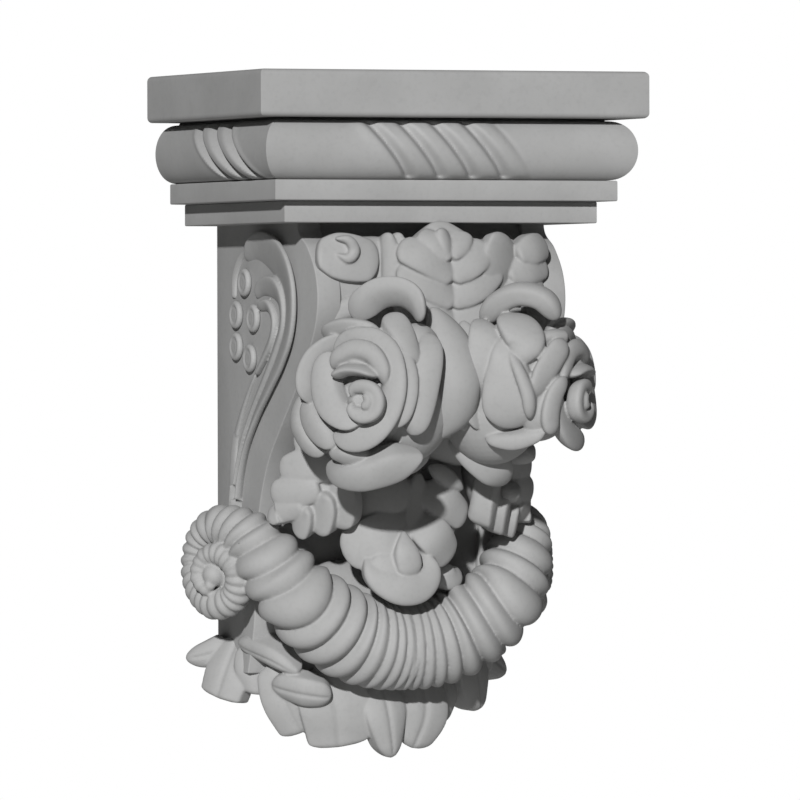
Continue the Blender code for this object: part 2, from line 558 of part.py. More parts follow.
def add_cap(collection):
    """A rectangle drawn down through the mouldings: they turn both front corners."""
    mesh = bmesh.new()
    bmesh.ops.create_grid(mesh, x_segments=1, y_segments=1, size=1)
    stations = cap_profile()

    def place(vertices, setback, drop):
        for vertex in vertices:
            across_sign = 1 if vertex.co.x > 0 else -1
            at_wall = vertex.co.y > -cap_depth / 4
            vertex.co.x = across_sign * (cap_width / 2 - setback)
            vertex.co.y = wall_tuck if at_wall else -(cap_depth - setback)
            vertex.co.z = top - drop

    place(mesh.verts[:], *stations[0])
    lid = mesh.faces[:]
    layer = lid
    for setback, drop in stations[1:]:
        result = bmesh.ops.extrude_face_region(mesh, geom=layer)["geom"]
        if layer is not lid:
            bmesh.ops.delete(mesh, geom=layer, context="FACES_ONLY")
        vertices = [piece for piece in result if isinstance(piece, bmesh.types.BMVert)]
        layer = [piece for piece in result if isinstance(piece, bmesh.types.BMFace)]
        place(vertices, setback, drop)
    bmesh.ops.recalc_face_normals(mesh, faces=mesh.faces)
    return finish(mesh, "cap", collection)


# The twist: slanting grooves in the torus, counted in pitches from the middle of each side
front_grooves = (-2.5, -1.5, -0.5, 0.5, 1.5, 2.5)
side_grooves = (-0.5, 0.5)
front_slant = 0.70
side_slant = 1.30
side_middle = 0.062
groove_half = 0.20
groove_start = 0.1


def groove(mesh, place_of):
    """A tapered spindle laid in the torus; place_of turns (run, drop share) into metres."""
    drawn, _, turn, pole, even = ball(8, 10)
    deepest = torus_setback + torus_bulge
    for vertex, around, tip, share in zip(drawn.verts, turn, pole, even):
        angle = math.pi * (groove_start + (1 - 2 * groove_start) * share)
        fat = math.sin(math.pi * share) ** 0.5
        sideways = 0 if tip else math.cos(around) * fat
        inward = 0 if tip else math.sin(around) * fat
        setback = deepest - torus_bulge * math.sin(angle) ** 0.8 + strand_depth * inward
        drop = slab_height + moulding_gap + torus_height * (1 - math.cos(angle)) / 2
        vertex.co = place_of(strand_pitch * groove_half * sideways, drop, setback)
    bmesh.ops.recalc_face_normals(drawn, faces=drawn.faces)
    data = bpy.data.meshes.new("groove")
    drawn.to_mesh(data)
    drawn.free()
    mesh.from_mesh(data)
    bpy.data.meshes.remove(data)


def add_twist(collection):
    mesh = bmesh.new()
    middle = slab_height + moulding_gap + torus_height / 2
    for count in front_grooves:
        start = count * strand_pitch
        groove(mesh, lambda run, drop, setback: (start + run + front_slant * (drop - middle),
                                                 -(cap_depth - setback), top - drop))
    for side in (-1, 1):
        for count in side_grooves:
            start = side_middle + count * strand_pitch
            groove(mesh, lambda run, drop, setback: (side * (cap_width / 2 - setback),
                                                     -(start + run + side_slant * (drop - middle)),
                                                     top - drop))
    return finish(mesh, "twist", collection)


def outer_shell(mesh):
    """Only the largest connected surface stays."""
    mesh.faces.ensure_lookup_table()
    left = set(mesh.faces)
    shells = []
    while left:
        grow = [left.pop()]
        shell = list(grow)
        while grow:
            face = grow.pop()
            for edge in face.edges:
                for near in edge.link_faces:
                    if near in left:
                        left.remove(near)
                        grow.append(near)
                        shell.append(near)
        shells.append(shell)
    shells.sort(key=len)
    spare = [face for shell in shells[:-1] for face in shell]
    bmesh.ops.delete(mesh, geom=spare, context="FACES")


def evaluated(thing, name, collection):
    """The mesh with its modifiers worked in, as a new object."""
    graph = bpy.context.evaluated_depsgraph_get()
    data = bpy.data.meshes.new_from_object(thing.evaluated_get(graph))
    data.name = name
    made = bpy.data.objects.new(name, data)
    collection.objects.link(made)
    return made


def joined(parts):
    whole = bmesh.new()
    for mesh in parts:
        data = bpy.data.meshes.new("piece")
        mesh.to_mesh(data)
        mesh.free()
        whole.from_mesh(data)
        bpy.data.meshes.remove(data)
    return whole


def stone():
    material = bpy.data.materials.new("cast_grey")
    material.use_nodes = True
    shader = material.node_tree.nodes["Principled BSDF"]
    shader.inputs["Base Color"].default_value = (0.36, 0.36, 0.36, 1)
    shader.inputs["Roughness"].default_value = 0.62
    shader.inputs["Metallic"].default_value = 0.0
    return material


def main():
    for thing in list(bpy.data.objects):
        bpy.data.objects.remove(thing)
    scene = bpy.context.scene.collection
    kept = bpy.data.collections.new("corbel")
    cutters = bpy.data.collections.new("cutters")
    scene.children.link(kept)
    scene.children.link(cutters)

    parts = []
    add_body(parts)
    both_sides(parts, add_side)
    add_roses(parts)
    add_middle_petals(parts)
    add_top_leaves(parts)
    both_sides(parts, add_low_leaf)
    add_drooping_leaf(parts)
    both_sides(parts, add_horn)
    add_skirt(parts)

    rough = finish(joined(parts), "rough", cutters)
    fuse = rough.modifiers.new("fuse", "REMESH")
    fuse.mode = "VOXEL"
    fuse.voxel_size = grain
    fused = evaluated(rough, "fused", cutters)
    bpy.data.objects.remove(rough)
    mesh = bmesh.new()
    mesh.from_mesh(fused.data)
    outer_shell(mesh)
    mesh.to_mesh(fused.data)
    thin = fused.modifiers.new("thin", "DECIMATE")
    thin.ratio = carving_triangles / (2 * len(mesh.faces))
    mesh.free()
    carving = evaluated(fused, "carving", kept)
    bpy.data.objects.remove(fused)

    cap = add_cap(cutters)
    twist = add_twist(cutters)
    wall = bmesh.new()
    bmesh.ops.create_cube(wall, size=1)
    bmesh.ops.scale(wall, vec=(cap_width * 2, cap_depth, height * 2), verts=wall.verts)
    bmesh.ops.translate(wall, vec=(0, cap_depth / 2, 0), verts=wall.verts)
    wall = finish(wall, "wall", cutters)
    for cutter in (cap, twist, wall):
        cutter.hide_render = True
        cutter.display_type = "WIRE"

    carving.name = "corbel"
    add = carving.modifiers.new("cap", "BOOLEAN")
    add.operation = "UNION"
    add.object = cap
    for cutter in (twist, wall):
        cut = carving.modifiers.new(cutter.name, "BOOLEAN")
        cut.operation = "DIFFERENCE"
        cut.object = cutter
    carving.data.materials.append(stone())


main()
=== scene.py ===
# %% [markdown]
# # An ornamental corbel, dressed
# A corbel is a bracket that carries a shelf or a cornice. This one is a single
# casting: a moulded cap, an S-shaped body, two roses, leaves, a ribbed double
# horn and a skirt of leaves. The solid model sets every size. This script makes
# the fine surface that goes over it, piece by piece.

# %% The frame
import math

import bmesh
import bpy
import numpy as np
from mathutils import Matrix, Vector


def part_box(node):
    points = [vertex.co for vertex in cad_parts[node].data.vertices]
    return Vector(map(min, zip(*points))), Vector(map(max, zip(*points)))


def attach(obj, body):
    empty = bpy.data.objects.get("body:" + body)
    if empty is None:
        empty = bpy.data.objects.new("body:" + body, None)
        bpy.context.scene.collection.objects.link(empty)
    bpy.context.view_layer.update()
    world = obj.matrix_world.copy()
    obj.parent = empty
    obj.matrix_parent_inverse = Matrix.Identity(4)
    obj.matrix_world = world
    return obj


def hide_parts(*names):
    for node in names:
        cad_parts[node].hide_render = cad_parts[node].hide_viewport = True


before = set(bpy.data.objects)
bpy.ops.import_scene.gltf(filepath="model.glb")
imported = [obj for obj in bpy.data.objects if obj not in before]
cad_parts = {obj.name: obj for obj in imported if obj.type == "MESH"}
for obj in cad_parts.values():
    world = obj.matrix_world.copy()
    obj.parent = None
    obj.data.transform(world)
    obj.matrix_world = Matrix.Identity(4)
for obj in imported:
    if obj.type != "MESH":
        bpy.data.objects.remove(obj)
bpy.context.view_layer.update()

low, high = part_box("corbel")
print("the solid is", [round(1000 * side) for side in high - low], "mm")

# %% [markdown]
# ## Places on the block
# The carving is drawn in millimetres, as a carver would mark a block: across
# from the centre line, forward from the wall, and down from the top. One
# function turns such a place into the frame's metres, from the solid's own box.

# %% Drawing places
drawn_cap_width = 207.2
drawn_cap_depth = 158.6
mm = (high.x - low.x) / drawn_cap_width


def on_block(places):
    """(across, forward, down) in drawing millimetres, as metres in the frame."""
    places = np.atleast_2d(np.array(places, float))
    return np.stack([places[:, 0] * mm, -places[:, 1] * mm, high.z - places[:, 2] * mm], axis=1)


print("one drawing millimetre is", round(mm, 6), "m")

# %% [markdown]
# ## Curves to carve along
# A petal, a leaf or a horn follows a line. A few given points are
# enough, because a smooth curve is drawn through them. `follow` reads the curve
# at any share of its run, and `heading` says which way it goes there.

# %% Curves


def unit(vectors):
    return vectors / np.maximum(np.linalg.norm(vectors, axis=-1, keepdims=True), 1e-9)


def follow(points, along):
    points = np.array(points, float)
    if points.ndim == 1:
        points = points[:, None]
    spans = len(points) - 1
    points = np.vstack([2 * points[0] - points[1], points, 2 * points[-1] - points[-2]])
    place = np.clip(along, 0, 1) * spans
    index = np.minimum(place.astype(int), spans - 1)
    u = (place - index)[:, None]
    a, b, c, d = (points[index + step] for step in range(4))
    return 0.5 * (2 * b + (c - a) * u + (2 * a - 5 * b + 4 * c - d) * u * u
                  + (3 * b - a - 3 * c + d) * u ** 3)


def heading(points, along):
    step = 1e-3
    ahead, behind = np.clip(along + step, 0, 1), np.clip(along - step, 0, 1)
    return unit(follow(points, ahead) - follow(points, behind))


# %% [markdown]
# ## The carver's basic form
# Petals, lobes and bands are all the same kind of body: a soft pillow along a
# line, wide or narrow, with a rounded rim. It could be a curve with a bevel, but
# then its section would be the same all round. Here a sphere from
# `create_uvsphere` is drawn out along the line instead. Its equator becomes the
# rim, one half becomes the face and the other the back.

# %% The blade
# A blade's rings lie partly as on a ball, closer at its ends, and partly evenly.
as_on_ball, evenly = 0.3, 0.7
crease_width = 0.12


def ball(sides, rings):
    mesh = bmesh.new()
    bmesh.ops.create_uvsphere(mesh, u_segments=sides, v_segments=rings, radius=1)
    spots = np.array([vertex.co[:] for vertex in mesh.verts])
    pole = np.hypot(spots[:, 0], spots[:, 1]) < 1e-6
    turn = np.arctan2(spots[:, 1], spots[:, 0])
    even = np.arccos(np.clip(spots[:, 2], -1, 1)) / math.pi
    return mesh, spots, turn, pole, even


def put(mesh, places):
    for vertex, place in zip(mesh.verts, on_block(places)):
        vertex.co = place
    bmesh.ops.recalc_face_normals(mesh, faces=mesh.faces)


def looks_along(facing, along, run):
    look = np.array(facing, float)
    look = follow(look, along) if look.ndim == 2 else np.repeat(look[None], len(along), 0)
    return unit(look - (look * run).sum(1, keepdims=True) * run)


def blade(parts, spine, facing, half, thick, ends=(0.3, 0.3), back=None, bend=0.0, away=None,
          lift=0.0, crease=0.0, square=0.62, sides=40, rings=36):
    """A pillow along its spine. lift raises the rim that lies away from a centre."""
    mesh, spots, turn, pole, even = ball(sides, rings)
    along = as_on_ball * (1 - spots[:, 2]) / 2 + evenly * even
    side = np.where(pole, 0, np.cos(turn))
    face = np.where(pole, 0, np.sin(turn))
    middle = follow(spine, along)
    run = heading(spine, along)
    look = looks_along(facing, along, run)
    out = np.cross(run, look)
    start = 1 - (1 - np.clip(along / ends[0], 0, 1)) ** 2
    stop = 1 - (1 - np.clip((1 - along) / ends[1], 0, 1)) ** 2
    close = np.sqrt(np.clip(start * stop, 0, 1))
    width = follow(half, along)[:, 0] * close
    body = np.abs(face) ** square * close
    rise = np.where(face > 0, thick * body, -(thick if back is None else back) * body)
    rise = rise - np.where(face > 0, crease * np.exp(-(side / crease_width) ** 2) * body, 0)
    rise = rise - bend * side ** 2 * close
    if away is not None:
        outer = np.sign((out * (middle - np.array(away))).sum(1))
        rise = rise + lift * outer * side * close
    put(mesh, middle + out * (width * side)[:, None] + look * rise[:, None])
    parts.append(mesh)


def lump(parts, centre, radii, sides=32, rings=24):
    """A rounded core that fills the ground behind the carving."""
    mesh, spots, turn, pole, even = ball(sides, rings)
    put(mesh, np.array(centre) + spots * np.array(radii))
    parts.append(mesh)


def mirror_image(mesh):
    """The same mesh, turned over to the other side of the centre line."""
    bmesh.ops.transform(mesh, matrix=Matrix.Scale(-1, 4, (1, 0, 0)), verts=mesh.verts)
    bmesh.ops.recalc_face_normals(mesh, faces=mesh.faces)
    return mesh


def both_sides(build):
    """Pieces drawn on the left, and their mirror images on the right."""
    left = []
    build(left)
    return left + [mirror_image(mesh.copy()) for mesh in left]


# %% [markdown]
# ## From many pillows to one skin
# In the real casting everything is one skin, and where two forms meet there is a
# narrow, slightly soft groove. A voxel remesh does just that: it keeps the outer
# skin of all the bodies together. A few smoothing steps then take off the
# steps that the voxels leave, the way a casting loses its sharpest edges. Boolean
# unions would keep each pillow's own mesh, but hundreds of them are slow and fail
# where two faces nearly touch.

# %% One skin
# In drawing millimetres: the voxel of the skin, and how clear of the wall it stays.
skin_grain = 0.65
wall_clearance = 0.02
smoothing_steps = 2
smallest_skin = 600
most_triangles = 78000


def gather(parts):
    whole = bmesh.new()
    for mesh in parts:
        data = bpy.data.meshes.new("piece")
        mesh.to_mesh(data)
        mesh.free()
        whole.from_mesh(data)
        bpy.data.meshes.remove(data)
    return whole


def new_object(mesh, name):
    data = bpy.data.meshes.new(name)
    mesh.to_mesh(data)
    mesh.free()
    thing = bpy.data.objects.new(name, data)
    bpy.context.scene.collection.objects.link(thing)
    return thing


def worked_in(thing):
    """The mesh with its modifiers applied."""
    graph = bpy.context.evaluated_depsgraph_get()
    data = bpy.data.meshes.new_from_object(thing.evaluated_get(graph))
    thing.modifiers.clear()
    old = thing.data
    thing.data = data
    bpy.data.meshes.remove(old)
    data.name = thing.name


def outer_skin(mesh):
    """Skins with fewer faces than smallest_skin are hidden scraps, and go."""
    left = set(mesh.faces)
    skins = []
    while left:
        grow = [left.pop()]
        skin = list(grow)
        while grow:
            face = grow.pop()
            for edge in face.edges:
                for near in edge.link_faces:
                    if near in left:
                        left.remove(near)
                        grow.append(near)
                        skin.append(near)
        skins.append(skin)
    spare = [face for skin in skins if len(skin) < smallest_skin for face in skin]
    bmesh.ops.delete(mesh, geom=spare, context="FACES")


def cast(name, parts):
    """One skin over all the parts, with no wall sticking through the back plane."""
    thing = new_object(gather(parts), name)
    fuse = thing.modifiers.new("fuse", "REMESH")
    fuse.mode = "VOXEL"
    fuse.voxel_size = skin_grain * mm
    relax = thing.modifiers.new("relax", "SMOOTH")
    relax.factor = 0.5
    relax.iterations = smoothing_steps
    worked_in(thing)
    mesh = bmesh.new()
    mesh.from_mesh(thing.data)
    outer_skin(mesh)
    bmesh.ops.bisect_plane(mesh, geom=mesh.verts[:] + mesh.edges[:] + mesh.faces[:], dist=1e-6,
                           plane_co=(0, -wall_clearance * mm, 0), plane_no=(0, 1, 0),
                           clear_outer=True)
    rim = [edge for edge in mesh.edges if edge.is_boundary]
    bmesh.ops.holes_fill(mesh, edges=rim, sides=0)
    bmesh.ops.recalc_face_normals(mesh, faces=mesh.faces)
    mesh.to_mesh(thing.data)
    count = 2 * len(mesh.faces)
    mesh.free()
    if count > most_triangles:
        thin = thing.modifiers.new("thin", "DECIMATE")
        thin.ratio = most_triangles / count
        worked_in(thing)
    thing.data.shade_smooth()
    print(name, "has", len(thing.data.polygons), "faces")
    return thing


# %% [markdown]
# ## The cast finish
# The real surface is a dry, even, light grey, like unpainted casting plaster or
# stone paste. It isn't quite flat: there is a faint cloudiness, a fine grain that
# the light catches at a low angle, and tiny pores. All of it is worked out from
# Object coordinates, so it runs on from piece to piece.

# %% Cast grey


def cast_grey():
    material = bpy.data.materials.new("cast_grey")
    material.use_nodes = True
    nodes, links = material.node_tree.nodes, material.node_tree.links
    shader = nodes["Principled BSDF"]
    shader.inputs["Metallic"].default_value = 0.0
    shader.inputs["Specular IOR Level"].default_value = 0.3
    place = nodes.new("ShaderNodeTexCoord")

    def noise(scale, detail, roughness=0.55):
        node = nodes.new("ShaderNodeTexNoise")
        node.inputs["Scale"].default_value = scale
        node.inputs["Detail"].default_value = detail
        node.inputs["Roughness"].default_value = roughness
        links.new(place.outputs["Object"], node.inputs["Vector"])
        return node

    def ramp(source, dark, light):
        """Colours for a noise, each end as (position, colour)."""
        node = nodes.new("ShaderNodeValToRGB")
        for element, (position, colour) in zip(node.color_ramp.elements, (dark, light)):
            element.position = position
            element.color = (*colour, 1)
        links.new(source.outputs["Fac"], node.inputs["Fac"])
        return node

    cloud, fleck, pores = noise(26, 5), noise(420, 3), noise(1500, 2)
    cloud_colour = ramp(cloud, (0.3, (0.375, 0.375, 0.372)), (0.7, (0.43, 0.43, 0.428)))
    speck = ramp(fleck, (0.28, (0.86, 0.86, 0.86)), (0.5, (1, 1, 1)))
    flecked = nodes.new("ShaderNodeMixRGB")
    flecked.blend_type = "MULTIPLY"
    flecked.inputs["Fac"].default_value = 0.35
    links.new(cloud_colour.outputs["Color"], flecked.inputs["Color1"])
    links.new(speck.outputs["Color"], flecked.inputs["Color2"])
    links.new(flecked.outputs["Color"], shader.inputs["Base Color"])

    dry = nodes.new("ShaderNodeMapRange")
    dry.inputs["To Min"].default_value = 0.58
    dry.inputs["To Max"].default_value = 0.74
    links.new(fleck.outputs["Fac"], dry.inputs["Value"])
    links.new(dry.outputs["Result"], shader.inputs["Roughness"])

    grain = nodes.new("ShaderNodeBump")
    grain.inputs["Strength"].default_value = 0.12
    grain.inputs["Distance"].default_value = 0.0002
    links.new(pores.outputs["Fac"], grain.inputs["Height"])
    links.new(grain.outputs["Normal"], shader.inputs["Normal"])
    return material


grey = cast_grey()


def dress(thing):
    """Every piece has the same finish, rides on the one body and stands for the solid."""
    thing.data.materials.clear()
    thing.data.materials.append(grey)
    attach(thing, "root")
    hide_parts("corbel")


# %% [markdown]
# ## The cap
# The cap is a slab over three mouldings: a fat half-round (a torus), a flat band
# and a thinner one. The mouldings turn both front corners, as a picture frame
# does. So one line round the slab is drawn down step by step, setting back as the
# profile says. The torus is carved like a twisted rope in the middle of each
# side, which is a small shift of the surface that depends on where it is.

# %% Cap profile
slab_height = 23.3
slab_round = 2.6
neck_setback = 17.5
torus_top = 24.4
torus_height = 29.6
torus_setback = 4.3
torus_bulge = 12.6
fascia_setback = 12.2
fascia_foot = 64.3
fillet_setback = 20.1
fillet_foot = 75.2
arris = 0.7
seam = 0.1
sharp_angle = math.radians(40)


def rounded(setback, down, radius, first, last, steps):
    """An arc of the profile, as (setback, down), between two angles in degrees."""
    arc = []
    for step in range(steps + 1):
        angle = math.radians(first + (last - first) * step / steps)
        arc.append((setback - radius * math.sin(angle), down - radius * math.cos(angle)))
    return arc


def cap_profile():
    profile = rounded(slab_round, slab_round, slab_round, 0, 90, 6)
    profile += rounded(slab_round, slab_height - slab_round, slab_round, 90, 180, 6)
    profile.append((neck_setback, slab_height + seam / 2))
    steps = 36
    for step in range(steps + 1):
        angle = math.pi * step / steps
        down = torus_top + torus_height * (1 - math.cos(angle)) / 2
        profile.append((torus_setback + torus_bulge * (1 - math.sin(angle) ** 0.85), down))
    fascia_top = torus_top + torus_height + seam
    profile += rounded(fascia_setback + arris, fascia_top + arris, arris, 0, 90, 3)
    profile += rounded(fascia_setback + arris, fascia_foot - arris, arris, 90, 180, 3)
    profile += rounded(fillet_setback + arris, fascia_foot + seam + arris, arris, 0, 90, 3)
    profile += rounded(fillet_setback + arris, fillet_foot - arris, arris, 90, 180, 3)
    return profile


print("cap profile:", len(cap_profile()), "steps")

# %% [markdown]
# ### The twist
# Seen from the front, four grooves slant down to the right, 17 mm apart, and the
# strands swell between them. On the sides there are three grooves that slant more.
# Each groove has a round bottom, so its line stays clean across the mesh.

# %% Twist and cap
# Where the twist's middle and one groove are, how far it reaches, and its grooves.
front_twist = {"middle": -4.0, "reach": 40.0, "groove": 2.5,
               "pitch": 17.0, "slant": 24.0, "deep": 4.6}
side_twist = {"middle": 90.0, "reach": 31.0, "groove": 90.0,
              "pitch": 20.0, "slant": 41.0, "deep": 5.0}
twist_fade = 7
twist_edge = 14
strand_swell = 0.22
cap_step = 0.9


def strand(place, down, twist):
    """How far the torus is sunk by the rope carving, at a place along it."""
    share = (down - torus_top) / torus_height
    if not 0 < share < 1:
        return 0.0
    straight = place - twist["slant"] * (share - 0.5)
    turn = (straight - twist["groove"]) / twist["pitch"]
    sunk = (0.5 + 0.5 * math.cos(2 * math.pi * turn)) ** 3
    fade = min(max((twist["reach"] - abs(straight - twist["middle"])) / twist_fade, 0), 1)
    edge = min(min(share, 1 - share) * twist_edge, 1)
    return twist["deep"] * (sunk - strand_swell) * fade * edge


def cap_line():
    """Where the line round the cap has its points: (share across, share out)."""
    half, depth = drawn_cap_width / 2, drawn_cap_depth
    side_count, front_count = int(depth / cap_step), int(2 * half / cap_step)
    left = [(-1, step / side_count) for step in range(side_count)]
    front = [(-1 + 2 * step / front_count, 1) for step in range(front_count)]
    right = [(1, 1 - step / side_count) for step in range(side_count + 1)]
    return left + front + right


def make_cap():
    line = cap_line()
    mesh = bmesh.new()
    bmesh.ops.create_circle(mesh, cap_ends=True, segments=len(line), radius=1)
    ring = mesh.verts[:]
    face = mesh.faces[:]
    half, depth = drawn_cap_width / 2, drawn_cap_depth

    def place(vertices, setback, down):
        spots = []
        for across, out in line:
            x = across * (half - setback)
            forward = out * (depth - setback)
            if out == 1:
                forward -= strand(x, down, front_twist)
            elif out > 0:
                x -= across * strand(forward, down, side_twist)
            spots.append((x, forward, down))
        for vertex, spot in zip(vertices, on_block(spots)):
            vertex.co = spot

    profile = cap_profile()
    place(ring, *profile[0])
    for setback, down in profile[1:]:
        result = bmesh.ops.extrude_face_region(mesh, geom=face)["geom"]
        if down > profile[1][1]:
            bmesh.ops.delete(mesh, geom=face, context="FACES_ONLY")
        face = [piece for piece in result if isinstance(piece, bmesh.types.BMFace)]
        ring = face[0].verts[:]
        place(ring, setback, down)
    bmesh.ops.recalc_face_normals(mesh, faces=mesh.faces)
    cap = new_object(mesh, "cap")
    cap.data.set_sharp_from_angle(angle=sharp_angle)
    cap.data.shade_smooth()
    return cap


# %% [markdown]
# ## The bracket
# Behind the carving stands a plain bracket whose front sweeps out and back in an
# S. It is one outline in side view, drawn across the block, and its front is sunk
# a little between two raised borders. An extruded outline keeps these long edges
# as clean as they are on the casting.

# %% Bracket
body_width = 132.8
border_width = 12.5
panel_sink = 3.5
back_plane = 0.05
front_curve = [(112, 60), (112, 78), (125, 87), (136, 100), (139, 115), (133, 131),
               (115, 152), (91, 174), (70, 195), (58, 219), (53, 245), (51, 275), (42, 300)]


def slab_of(outline, left, right):
    """An outline in side view, carried across the block, with softened arrises."""
    mesh = bmesh.new()
    bmesh.ops.create_circle(mesh, cap_ends=True, segments=len(outline), radius=1)
    for vertex, place in zip(mesh.verts, on_block([(left, *spot) for spot in outline])):
        vertex.co = place
    far = bmesh.ops.extrude_face_region(mesh, geom=mesh.faces[:])["geom"]
    moved = [piece for piece in far if isinstance(piece, bmesh.types.BMVert)]
    bmesh.ops.translate(mesh, verts=moved, vec=((right - left) * mm, 0, 0))
    bmesh.ops.recalc_face_normals(mesh, faces=mesh.faces)
    rims = [edge for edge in mesh.edges if edge.is_manifold and edge.calc_face_angle() > 1]
    bmesh.ops.bevel(mesh, geom=rims, offset=arris * mm, offset_type="OFFSET", affect="EDGES",
                    segments=3, profile=0.5, material=-1)
    return mesh


def side_view(sink, steps=90):
    front = follow(front_curve, np.linspace(0, 1, steps + 1)) - (sink, 0)
    return [*front, (back_plane, front_curve[-1][1]), (back_plane, front_curve[0][1])]


def make_bracket():
    half = body_width / 2
    inner = half - border_width
    parts = [slab_of(side_view(panel_sink), -inner - arris, inner + arris)]
    for side in (-1, 1):
        near, far = side * inner, side * half
        parts.append(slab_of(side_view(0), min(near, far), max(near, far)))
    bracket = new_object(gather(parts), "bracket")
    bracket.data.set_sharp_from_angle(angle=sharp_angle)
    return bracket


cap = make_cap()
dress(cap)
bracket = make_bracket()
dress(bracket)

# %% [markdown]
# ## Scrolls on the sides
# Each side has ribbons in low relief that rise together, part, and curl over a
# cluster of ringed berries. They could be carved into the flat side, but then the
# rims would need a knife line each. Blades laid on the side bring their own rims.

# %% Side scrolls
# (line as forward and down, half widths, thickness, lift of the outer rim)
ribbons = [
    ([(42, 93), (58, 88), (77, 91), (93, 99), (102, 111), (101, 125), (91, 139), (77, 152),
      (60, 167), (45, 184), (36, 201), (32, 217), (30, 234)],
     [4, 8, 12, 14, 14, 13, 11, 9, 7, 5, 4, 3.4, 3], 4.0, 3.4),
    ([(57, 112), (68, 107), (84, 108), (93, 115), (94, 125), (86, 136), (73, 149), (58, 163),
      (44, 178), (34, 194), (28, 212), (27, 234)],
     [2.4, 4.6, 6.4, 6.6, 6, 5, 4.4, 3.8, 3.2, 2.8, 2.4, 2.2], 4.6, 2.2),
    ([(60, 117), (74, 116), (82, 123), (79, 132), (69, 141), (58, 150)], [2, 3.4, 4, 4, 3.4, 2],
     4.4, 1.4),
    ([(58, 148), (45, 160), (35, 171), (27, 183), (24, 198), (23, 214), (23, 234)],
     [1, 1.8, 2.4, 3, 3.4, 3.4, 3], 2.6, 0.4),
    ([(48, 87), (35, 92), (27, 101), (26, 112)], [1.2, 2.2, 2.4, 1.8], 2.4, 0.6),
]
berries = [(43, 104), (31, 120), (55, 122), (31, 136), (50, 142)]
berry_radius = 7.0
berry_stand = 1.6
# (how far a ring lies inside the berry's rim, its thickness)
berry_rings = [(1.5, 1.7), (4.6, 1.4)]


def ring_of(parts, centre, radius, thick):
    """A ring lying on the side: a closed run of blade round its centre."""
    mesh = bmesh.new()
    bmesh.ops.create_circle(mesh, segments=12, radius=1)
    spots = np.array([vertex.co[:2] for vertex in mesh.verts])
    x, forward, down = centre
    section = np.stack([x + thick * spots[:, 0], forward + radius + thick * spots[:, 1],
                        np.full(len(spots), float(down))], axis=1)
    for vertex, place in zip(mesh.verts, on_block(section)):
        vertex.co = place
    pivot = on_block([centre])[0]
    bmesh.ops.spin(mesh, geom=mesh.edges[:] + mesh.verts[:], cent=pivot, axis=(1, 0, 0),
                   dvec=(0, 0, 0), angle=2 * math.pi, steps=36, use_merge=True)
    bmesh.ops.recalc_face_normals(mesh, faces=mesh.faces)
    parts.append(mesh)


def side_scrolls(parts):
    wall = -body_width / 2
    for run, half, rise, lift in ribbons:
        spine = [(wall, forward, down) for forward, down in run]
        blade(parts, spine, (-1, 0, 0), half, rise * 0.6, ends=(0.1, 0.05), back=2, lift=lift,
              away=(wall, 45, 150), square=0.5, sides=32, rings=110)
    for forward, down in berries:
        centre = (wall - berry_stand, forward, down)
        for inset, thick in berry_rings:
            ring_of(parts, centre, berry_radius - inset, thick)
        lump(parts, centre, (1.2, berry_radius - 1, berry_radius - 1))


def cast_pair(build, name):
    """The left piece, and the right one as its mirror image."""
    left = []
    build(left)
    thing = cast(name + "_left", left)
    mesh = bmesh.new()
    mesh.from_mesh(thing.data)
    twin = new_object(mirror_image(mesh), name + "_right")
    twin.data.shade_smooth()
    dress(thing)
    dress(twin)


cast_pair(side_scrolls, "side_scroll")

# %% [markdown]
# ## The roses
# The two roses look out at 45 degrees. Each is drawn round its own axis, as
# (right, up, out of the flower), so that a petal is placed as it is seen when
# looking into the flower, and the rose can be turned as a whole.

# %% Rose axes
rose_centre = np.array([-58.0, 174.5, 156.0])
rose_turn = math.radians(45)
rose_tilt = math.radians(9)
rose_axis = np.array([-math.sin(rose_turn) * math.cos(rose_tilt),
                      math.cos(rose_turn) * math.cos(rose_tilt), -math.sin(rose_tilt)])
rose_right = np.array([math.cos(rose_turn), math.sin(rose_turn), 0.0])
rose_up = np.array([math.sin(rose_turn) * math.sin(rose_tilt),
                    -math.cos(rose_turn) * math.sin(rose_tilt), -math.cos(rose_tilt)])
rose_basis = np.array([rose_right, rose_up, rose_axis])


def in_rose(right, up, out):
    return rose_centre + np.array([right, up, out]) @ rose_basis


# %% [markdown]
# ### The petals
# Every petal is a fat crescent, and the petals overlap from the bud outwards, so
# that each rim stands clear of the next one. A spiral by formula would be shorter,
# but a carver's petals are all unlike, so each has its own line. Both roses share
# the inner petals, and each has outer ones of its own.

